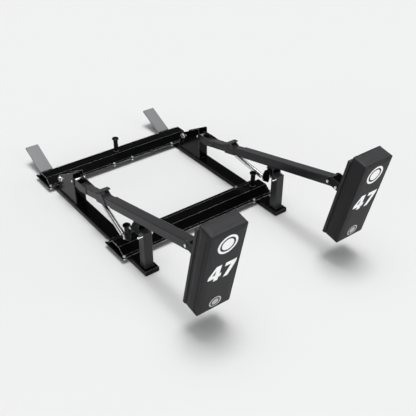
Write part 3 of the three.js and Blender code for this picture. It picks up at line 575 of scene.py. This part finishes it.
def coated_fabric():
    """Black vinyl with a fine pebbled grain and soft creases, with painted shade on its sides and
    painted light on its top.
    """
    dark_tone, pale_tone = (0.024, 0.024, 0.0255, 1), (0.033, 0.033, 0.0345, 1)
    shaded_sides_colour, lit_top_colour, clearly = (0.017, 0.017, 0.0185, 1), (0.038, 0.038, 0.0395, 1), 0.7
    smoothest, roughest, cloud_scale = 0.45, 0.62, 7
    pebble_scale, pebble_depth, crease_scale, crease_depth = 420, 0.0005, 12, 0.004
    material, tree, surface, place = new_material("black_vinyl")
    cloud = noise(tree, place, cloud_scale, detail=6)
    facing = node(tree, "ShaderNodeNewGeometry").outputs["Normal"]
    sideways, _, upward = node(tree, "ShaderNodeSeparateXYZ", {0: facing}).outputs
    either_side = node(tree, "ShaderNodeMath", {0: sideways}, operation="ABSOLUTE").outputs[0]
    # Painted shade: faces turned sideways get a darker tone. Painted light: faces turned up get a paler
    # one.
    painted_shade_mask = calc(tree, "GREATER_THAN", either_side, clearly)
    painted_light_mask = calc(tree, "GREATER_THAN", upward, clearly)
    front_with_lit_top = blend(tree, painted_light_mask, blend(tree, cloud, dark_tone, pale_tone), lit_top_colour)
    put(tree, surface.inputs["Base Color"], blend(tree, painted_shade_mask, front_with_lit_top, shaded_sides_colour))
    span = {"Value": cloud, "To Min": smoothest, "To Max": roughest}
    put(tree, surface.inputs["Roughness"], node(tree, "ShaderNodeMapRange", span).outputs["Result"])
    pebbles = {"Vector": place, "Scale": pebble_scale}
    cells = node(tree, "ShaderNodeTexVoronoi", pebbles).outputs["Distance"]
    crease = noise(tree, place, crease_scale, Distortion=1.2)
    grain = {"Strength": 0.25, "Distance": pebble_depth, "Height": cells}
    pebbled = node(tree, "ShaderNodeBump", grain).outputs["Normal"]
    ripple = {"Strength": 0.2, "Distance": crease_depth, "Height": crease, "Normal": pebbled}
    put(tree, surface.inputs["Normal"], node(tree, "ShaderNodeBump", ripple).outputs["Normal"])
    surface.inputs["Specular IOR Level"].default_value = 0.12
    return material


vinyl = coated_fabric()
cover_mesh = swollen_block()
cover_mesh.materials.clear()
cover_mesh.materials.append(vinyl)
cover_points = [vertex.co for vertex in cover_mesh.vertices]
cover_faces = [face.vertices for face in cover_mesh.polygons]
cover_tree = BVHTree.FromPolygons(cover_points, cover_faces)
for word in sides:
    shape = cover_mesh.copy()
    shape.transform(pad_frame(word))
    cushion = bpy.data.objects.new(f"{word}_cushion_cover", shape)
    scene.collection.objects.link(cushion)
    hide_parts(f"{word}_pad_cushion")
    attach(cushion, f"{word}_arm_body")


# Seams: piping laid along the front and rear edges of the cover, with a row of stitches beside it.
def seam_line(depth, inset, steps=12):
    """A closed line round the cushion at a depth in the pad's frame, drawn in by the inset."""
    half_x, half_z = cushion_size.x / 2 - inset, cushion_size.z / 2 - inset
    corner_radius = 0.012
    points = []
    for turn, (sign_x, sign_z) in enumerate(((1, 1), (-1, 1), (-1, -1), (1, -1))):
        for step in range(steps + 1):
            angle = pi / 2 * (turn + step / steps)
            x = sign_x * (half_x - corner_radius) + corner_radius * cos(angle)
            z = sign_z * (half_z - corner_radius) + corner_radius * sin(angle)
            points.append(Vector((x, depth, cushion_middle.z + z)))
    return points


def snapped(points, lift):
    """Points moved to the cover's surface and lifted off it."""
    result = []
    for point in points:
        place, normal, _, _ = cover_tree.find_nearest(point)
        result.append(place + normal * lift)
    return result


def line_object(points, closed=True):
    """A chain of edges through points, for a Geometry Nodes tree to grow from."""
    mesh = bpy.data.meshes.new("line")
    count = len(points)
    pairs = [(index, (index + 1) % count) for index in range(count if closed else count - 1)]
    mesh.from_pydata(points, pairs, [])
    line = bpy.data.objects.new("line", mesh)
    scene.collection.objects.link(line)
    return line


def tree_ends(name, inputs):
    """A Geometry Nodes tree with named inputs, and the sockets of its input and output nodes."""
    tree = bpy.data.node_groups.new(name, "GeometryNodeTree")
    group_socket(tree, "Geometry", "NodeSocketGeometry")
    for label, value in inputs.items():
        kind = "NodeSocketInt" if isinstance(value, int) else "NodeSocketFloat"
        group_socket(tree, label, kind, value)
    group_socket(tree, "Material", "NodeSocketMaterial")
    group_socket(tree, "Geometry", "NodeSocketGeometry", is_output=True)
    return tree, tree.nodes.new("NodeGroupInput").outputs, tree.nodes.new("NodeGroupOutput").inputs


def close_tree(tree, given, result, geometry):
    """The tree's result is the geometry as plain mesh in the given material."""
    realized = node(tree, "GeometryNodeRealizeInstances", {0: geometry}).outputs[0]
    paint = {"Geometry": realized, "Material": given["Material"]}
    put(tree, result[0], node(tree, "GeometryNodeSetMaterial", paint).outputs[0])
    return tree


def build_cord_tree():
    """A round cord swept along a line; its thickness wavers by a share, as a weld bead's does."""
    tree, given, result = tree_ends("cord", {"Cord Radius": 0.003, "Waver": 0.0, "Step": 0.006})
    line = node(tree, "GeometryNodeMeshToCurve", {0: given["Geometry"]}).outputs[0]
    spacing = {"Curve": line, "Length": given["Step"]}
    even = node(tree, "GeometryNodeResampleCurve", spacing, mode="LENGTH").outputs[0]
    place = node(tree, "GeometryNodeInputPosition").outputs[0]
    waver_scale = 90
    swing = calc(tree, "SUBTRACT", noise(tree, place, waver_scale), 0.5)
    swing = calc(tree, "MULTIPLY", swing, given["Waver"])
    thick = {"Curve": even, "Radius": calc(tree, "ADD", swing, 1.0)}
    varied = node(tree, "GeometryNodeSetCurveRadius", thick).outputs[0]
    profile = {"Resolution": 8, "Radius": given["Cord Radius"]}
    ring = node(tree, "GeometryNodeCurvePrimitiveCircle", profile).outputs[0]
    sweep = {"Curve": varied, "Profile Curve": ring}
    swept = node(tree, "GeometryNodeCurveToMesh", sweep).outputs[0]
    smooth = node(tree, "GeometryNodeSetShadeSmooth", {0: swept}).outputs[0]
    return close_tree(tree, given, result, smooth)


def build_stitch_tree():
    """Short threads laid end to end along a line, with a gap between each two."""
    inputs = {"Pitch": 0.008, "Thread Radius": 0.0007, "Thread Length": 0.0055}
    tree, given, result = tree_ends("stitches", inputs)
    line = node(tree, "GeometryNodeMeshToCurve", {0: given["Geometry"]}).outputs[0]
    spacing = {"Curve": line, "Length": given["Pitch"]}
    even = node(tree, "GeometryNodeResampleCurve", spacing, mode="LENGTH").outputs[0]
    size = {"Vertices": 6, "Radius": given["Thread Radius"], "Depth": given["Thread Length"]}
    thread = node(tree, "GeometryNodeMeshCylinder", size).outputs["Mesh"]
    tangent = node(tree, "GeometryNodeInputTangent").outputs[0]
    turn = node(tree, "FunctionNodeAlignRotationToVector", {"Vector": tangent}, axis="Z").outputs[0]
    laid = {"Points": even, "Instance": thread, "Rotation": turn}
    threads = node(tree, "GeometryNodeInstanceOnPoints", laid).outputs[0]
    return close_tree(tree, given, result, threads)


def build_fastener_tree():
    """A washer and a six sided head on each point, along its own direction, turned at random."""
    washer_share, crown_share, crown_height_share = 1.3, 0.72, 1.2
    inputs = {"Head Radius": 0.008, "Head Height": 0.006, "Washer": 0.0015, "Seed": 3}
    tree, given, result = tree_ends("fasteners", inputs)
    wide = calc(tree, "MULTIPLY", given["Head Radius"], washer_share)
    washer_size = {"Vertices": 20, "Radius": wide, "Depth": given["Washer"]}
    washer = node(tree, "GeometryNodeMeshCylinder", washer_size).outputs["Mesh"]
    head_size = {"Vertices": 6, "Radius": given["Head Radius"], "Depth": given["Head Height"]}
    head = node(tree, "GeometryNodeMeshCylinder", head_size).outputs["Mesh"]
    crown_radius = calc(tree, "MULTIPLY", given["Head Radius"], crown_share)
    crown_depth = calc(tree, "MULTIPLY", given["Head Height"], crown_height_share)
    crown_size = {"Vertices": 16, "Radius": crown_radius, "Depth": crown_depth}
    boss = node(tree, "GeometryNodeMeshCylinder", crown_size).outputs["Mesh"]
    both = node(tree, "GeometryNodeJoinGeometry")
    tree.links.new(boss, both.inputs[0])
    tree.links.new(head, both.inputs[0])
    half_height = calc(tree, "MULTIPLY", given["Head Height"], 0.5)
    lift = node(tree, "ShaderNodeCombineXYZ", {"Z": half_height}).outputs[0]
    moved = {"Geometry": both.outputs[0], "Translation": lift}
    raised = node(tree, "GeometryNodeTransform", moved).outputs[0]
    whole = node(tree, "GeometryNodeJoinGeometry")
    tree.links.new(washer, whole.inputs[0])
    tree.links.new(raised, whole.inputs[0])
    stored = {"Name": "facing"}
    facing = node(tree, "GeometryNodeInputNamedAttribute", stored, data_type="FLOAT_VECTOR").outputs[0]
    turn = node(tree, "FunctionNodeAlignRotationToVector", {"Vector": facing}, axis="Z").outputs[0]
    chance = node(tree, "FunctionNodeRandomValue", {"Seed": given["Seed"]}, data_type="FLOAT")
    drawn = [item for item in chance.outputs if item.enabled][0]
    spin = node(tree, "ShaderNodeCombineXYZ", {"Z": drawn}).outputs[0]
    about_itself = node(tree, "FunctionNodeRotateRotation", {0: turn, 1: spin}, rotation_space="LOCAL")
    turned = about_itself.outputs[0]
    laid = {"Points": given["Geometry"], "Instance": whole.outputs[0], "Rotation": turned}
    heads = node(tree, "GeometryNodeInstanceOnPoints", laid).outputs[0]
    return close_tree(tree, given, result, heads)


def grown(name, source, tree, values, place, body):
    """The plain mesh that a Geometry Nodes tree makes from a source object, put in its place."""
    modifier = source.modifiers.new("grow", "NODES")
    modifier.node_group = tree
    inputs = [item for item in tree.interface.items_tree if item.in_out == "INPUT"]
    identifiers = {item.name: item.identifier for item in inputs}
    for label, value in values.items():
        modifier[identifiers[label]] = value
    source.update_tag()
    bpy.context.view_layer.update()
    mesh = bpy.data.meshes.new_from_object(evaluated(source))
    bpy.data.objects.remove(source)
    mesh.transform(place)
    piece = bpy.data.objects.new(name, mesh)
    scene.collection.objects.link(piece)
    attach(piece, body)
    return piece


cord_tree = build_cord_tree()
stitch_tree = build_stitch_tree()
cord_black = painted(
    "piping_vinyl", (0.006, 0.006, 0.007), roughness=0.4, edge_share_worn_and_lit=0.0, dust=0.0, specular=0.3,
)
thread_grey, _, thread_surface, _ = new_material("grey_thread")
thread_surface.inputs["Base Color"].default_value = (0.06, 0.06, 0.065, 1)
thread_surface.inputs["Roughness"].default_value = 0.7
cord_radius, cord_inset, cord_lift, rear_cord_in = 0.0026, 0.003, 0.0005, 0.005
stitch_inset, stitch_lift = 0.013, 0.0002
front_line = snapped(seam_line(cushion_low.y + crown, cord_inset), cord_lift)
rear_line = snapped(seam_line(cushion_high.y - rear_cord_in, 0.0), cord_lift)
front_stitches = snapped(seam_line(cushion_low.y, stitch_inset), stitch_lift)
for word in sides:
    place, body = pad_frame(word), f"{word}_arm_body"
    for where, points in (("front", front_line), ("rear", rear_line)):
        values = {"Cord Radius": cord_radius, "Material": cord_black}
        line = line_object(points)
        grown(f"{word}_{where}_piping", line, cord_tree, values, place, body)
    values = {"Material": thread_grey}
    line = line_object(front_stitches)
    grown(f"{word}_stitches", line, stitch_tree, values, place, body)


# Marks: a plain number and a target ring printed in white on each cushion, and a small grey
# ring near its foot. They are thin flexible ink that lies on the cover.
def ink(name, color):
    """Printed ink, a little uneven."""
    material, tree, surface, place = new_material(name)
    faint_share = 0.95
    fainter = tuple(value * faint_share for value in color)
    cloud = noise(tree, place, 60, detail=4)
    put(tree, surface.inputs["Base Color"], blend(tree, cloud, (*color, 1), (*fainter, 1)))
    surface.inputs["Roughness"].default_value = 0.55
    return material


digit_strokes = {
    "4": (
        ((0.36, 0), (0.62, 0), (0.62, 1), (0.36, 1)),
        ((0, 0.2), (0.36, 0.2), (0.36, 0.43), (0, 0.43)),
        ((0, 0.43), (0.19, 0.43), (0.36, 0.74), (0.36, 1), (0.3, 1)),
        ((0.62, 0.2), (0.74, 0.2), (0.74, 0.43), (0.62, 0.43)),
    ),
    "7": (
        ((0, 0.76), (0.37, 0.76), (0.66, 0.79), (0.66, 1), (0, 1)),
        ((0.1, 0), (0.38, 0), (0.66, 0.79), (0.37, 0.76)),
    ),
}


def block_number(text, height, gap, slant):
    """A number in straight strokes as a flat mesh in x and z, centred on the origin."""
    joined_within = 0.0001
    form = bmesh.new()
    start = 0
    for digit in text:
        strokes = digit_strokes[digit]
        for stroke in strokes:
            corners = [((start + x + slant * z) * height, 0, z * height) for x, z in stroke]
            form.faces.new([form.verts.new(corner) for corner in corners])
        start += max(x for stroke in strokes for x, _ in stroke) + gap
    bmesh.ops.remove_doubles(form, verts=form.verts, dist=joined_within)
    middle = Vector(((start - gap + slant) / 2, 0, 0.5)) * height
    bmesh.ops.translate(form, vec=-middle, verts=form.verts)
    return form


def ring_outline(outer, inner):
    """A flat ring in x and z round the origin."""
    form = bmesh.new()
    rims = []
    steps = 48
    turn = 2 * pi / steps
    for radius in (outer, inner):
        corners = [(radius * cos(k * turn), 0, radius * sin(k * turn)) for k in range(steps)]
        rims.append([form.verts.new(corner) for corner in corners])
    for k in range(steps):
        n = (k + 1) % steps
        form.faces.new((rims[0][k], rims[0][n], rims[1][n], rims[1][k]))
    return form


def printed(name, form, height, material, word):
    """The flat mark cut into small faces and laid on the cushion at a height above its middle."""
    cell, ink_lift, in_front = 0.014, 0.0008, -0.5
    bmesh.ops.translate(form, vec=(0, 0, cushion_middle.z + height), verts=form.verts)
    directions = (Vector((1, 0, 0)), cushion_size.x / 2), (Vector((0, 0, 1)), cushion_size.z / 2)
    for direction, reach in directions:
        steps = int(2 * reach / cell)
        for step in range(1, steps):
            cut = direction * (-reach + 2 * reach * step / steps)
            everything = form.verts[:] + form.edges[:] + form.faces[:]
            bmesh.ops.bisect_plane(form, geom=everything, plane_co=cut, plane_no=direction)
    for vertex in form.verts:
        start = Vector((vertex.co.x, in_front, vertex.co.z))
        hit, _, _, _ = cover_tree.ray_cast(start, Vector((0, 1, 0)))
        vertex.co.y = hit.y - ink_lift
    bmesh.ops.recalc_face_normals(form, faces=form.faces)
    form.normal_update()
    if sum(face.normal.y * face.calc_area() for face in form.faces) > 0:
        bmesh.ops.reverse_faces(form, faces=form.faces)
    for face in form.faces:
        face.smooth = True
    mesh = bpy.data.meshes.new(name)
    form.to_mesh(mesh)
    form.free()
    mesh.transform(pad_frame(word))
    mesh.materials.append(material)
    mark = bpy.data.objects.new(name, mesh)
    scene.collection.objects.link(mark)
    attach(mark, f"{word}_arm_body")


white_ink = ink("white_ink", (0.97, 0.97, 0.97))
grey_ink = ink("grey_ink", (0.5, 0.5, 0.5))
number_height, target_height, foot_height, pinhole = 0.01, 0.3, -0.35, 0.0005
rings = (
    ("target_ring", 0.09, 0.07, target_height, white_ink),
    ("target_spot", 0.054, pinhole, target_height, white_ink),
    ("foot_ring", 0.058, 0.045, foot_height, grey_ink),
    ("foot_spot", 0.032, pinhole, foot_height, grey_ink),
)
for word in sides:
    number = block_number("47", height=0.158, gap=0.1, slant=0.12)
    printed(f"{word}_number", number, number_height, white_ink, word)
    for mark, outer, inner, height, paint in rings:
        printed(f"{word}_{mark}", ring_outline(outer, inner), height, paint, word)

# Fasteners: small bright bolts on the cheeks, on the hook that holds a strut and through each
# bracket's face plate. Those at the ends of each saddle's strap are painted with the arm.
fastener_tree = build_fastener_tree()
head_height_share = 0.7


def bolts(name, places, facing, place, body, radius=0.0085, paint=bright_pin, slot="bright_steel"):
    """Bolt heads at places that all face the same way, in the axes of a frame."""
    mesh = bpy.data.meshes.new("bolt_places")
    mesh.from_pydata(places, [], [])
    directions = mesh.attributes.new("facing", "FLOAT_VECTOR", "POINT")
    directions.data.foreach_set("vector", [value for _ in places for value in facing])
    points = bpy.data.objects.new("bolt_places", mesh)
    scene.collection.objects.link(points)
    values = {"Head Radius": radius, "Head Height": radius * head_height_share, "Material": paint}
    grown(name, points, fastener_tree, values, place, body)


def arm_frame(word):
    """The arm's own axes: the origin in the hinge, -Y along the arm to the cushion."""
    low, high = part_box(f"{word}_hinge_pin")
    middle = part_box(f"{word}_front_post")[0].x + post_half_width
    place = Vector((middle, (low.y + high.y) / 2, (low.z + high.z) / 2))
    return Matrix.Translation(place) @ Matrix.Rotation(-arm_slope, 4, "X")


still = Matrix.Identity(4)
cheek_bolt_forward, cheek_bolt_above = 0.05, 0.028
hook_plate, hook_bolt_forward, hook_bolt_above = 0.0083, 0.085, 0.155
strap_at, strap_edge, strap_below = -0.521, 0.012, 0.0101
face_bolt_sideways, face_bolt_heights = (-0.07, 0.07), (-0.094, 0.084)
strap_bolt = {"radius": 0.009, "paint": arm_grey, "slot": "dark_grey_paint"}
for word, side in sides.items():
    low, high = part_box(f"{word}_tie_bar")
    tie = (low + high) / 2
    for hand in (-1, 1):
        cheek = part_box(f"{word}_mast_{'outer' if hand == side else 'inner'}_cheek")
        face = cheek[0].x if hand < 0 else cheek[1].x
        spot = (face, tie.y - cheek_bolt_forward, tie.z + cheek_bolt_above)
        bolts(f"{word}_cheek_bolt_{hand}", [spot], (hand, 0, 0), still, "frame")
    foot_low, foot_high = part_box(f"{word}_strut_foot_pin")
    foot = (foot_low + foot_high) / 2
    post_low, post_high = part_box(f"{word}_front_post")
    hook = (post_high.x if side > 0 else post_low.x) + side * hook_plate
    spot = (hook, foot.y - hook_bolt_forward, foot.z + hook_bolt_above)
    bolts(f"{word}_hook_bolt", [spot], (side, 0, 0), still, "frame", radius=0.01)
    arm, arm_body = arm_frame(word), f"{word}_arm_body"
    low, high = spans(f"{word}_strut_saddle", arm)
    strap = [(x, strap_at, high.z) for x in (low.x + strap_edge, high.x - strap_edge)]
    bolts(f"{word}_strap_bolts", strap, (0, 0, 1), arm, arm_body, **strap_bolt)
    under = [(x, y, high.z - strap_below) for x, y, _ in strap]
    bolts(f"{word}_strap_nuts", under, (0, 0, -1), arm, arm_body, **strap_bolt)
    behind = board_thickness / 2 + face_plate
    spots = [(x, behind, z) for x in face_bolt_sideways for z in face_bolt_heights]
    bolts(f"{word}_face_bolts", spots, (0, 1, 0), pad_frame(word), arm_body)

# Welds: an uneven bead where each post and each mast cheek stands on its runner, painted over.
bead = {"Cord Radius": 0.0035, "Waver": 0.9, "Step": 0.004, "Material": black_paint}
for word, side in sides.items():
    low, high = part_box(f"{word}_front_post")
    corners = ((low.x, low.y), (high.x, low.y), (high.x, high.y), (low.x, high.y))
    ring = line_object([Vector((x, y, low.z)) for x, y in corners])
    grown(f"{word}_post_weld", ring, cord_tree, bead, still, "frame")
    for where, outward in (("outer", side), ("inner", -side)):
        low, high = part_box(f"{word}_mast_{where}_cheek")
        x = low.x if outward < 0 else high.x
        line = line_object([Vector((x, low.y, low.z)), Vector((x, high.y, low.z))], closed=False)
        grown(f"{word}_{where}_weld", line, cord_tree, bead, still, "frame")
